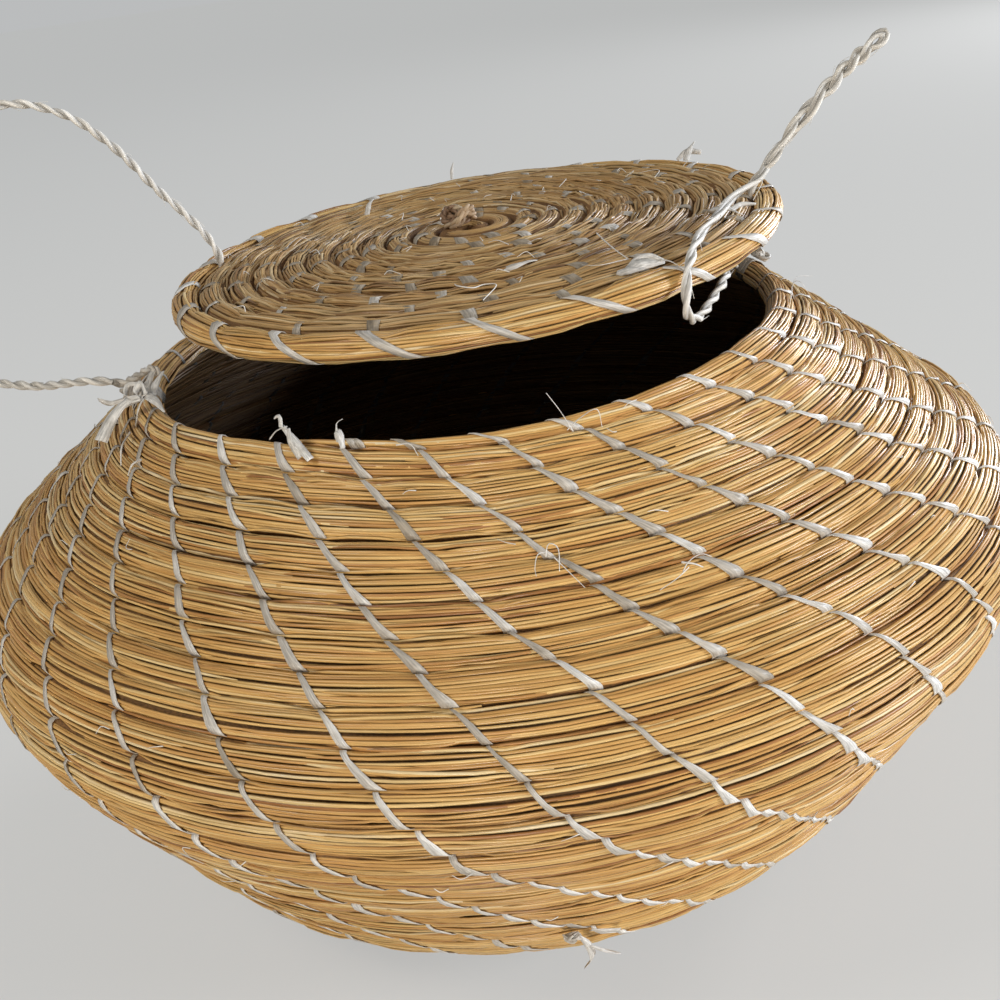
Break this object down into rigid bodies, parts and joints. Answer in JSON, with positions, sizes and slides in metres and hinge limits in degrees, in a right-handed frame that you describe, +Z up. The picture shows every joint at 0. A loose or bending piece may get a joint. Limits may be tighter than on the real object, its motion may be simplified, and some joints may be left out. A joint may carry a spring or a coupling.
{
  "type": "lidded coiled basket",
  "caption": "Round coiled grass basket with a wide belly, a narrow mouth and a flat coiled lid that hangs above the mouth on two twine cords and slides down onto the rim.",
  "frame": {"origin": "under the middle of the base, on the surface that the basket stands on", "axes": "+Z up along the coil's axis, front at -Y, left cord at -X and right cord at +X"},
  "size_m": [0.3304, 0.3184, 0.2409],
  "materials": {
    "grass_coil": "dry golden grass stems, satin",
    "twisted_start": "darker folded grass, matte",
    "pale_ribbon": "flat pale fibre ribbon, slightly shiny",
    "twine": "pale two-ply twine, matte"
  },
  "bodies": {
    "basket": {"base_centre_knot": "twisted_start", "base_coil": "grass_coil", "lower_wall_coil": "grass_coil", "upper_wall_coil": "grass_coil", "rim_coil": "grass_coil", "rim_end_tie": "pale_ribbon", "left_rim_tie": "pale_ribbon", "left_cord_knot": "pale_ribbon", "left_end_tie": "pale_ribbon", "right_rim_tie": "pale_ribbon", "right_cord_knot": "pale_ribbon", "belly_repair_knot": "pale_ribbon", "left_cord": "twine", "right_cord": "twine"},
    "lid": {"lid_coil": "grass_coil", "lid_edge_coil": "grass_coil", "lid_centre_knot": "twisted_start"}
  },
  "joints": [
    {"name": "lid_lift", "type": "slide", "parent": "basket", "child": "lid", "axis": [0.2878, 0.4849, 0.8259], "range_m": [-0.019, 0.05], "deforming": ["left_cord", "right_cord"]}
  ]
}
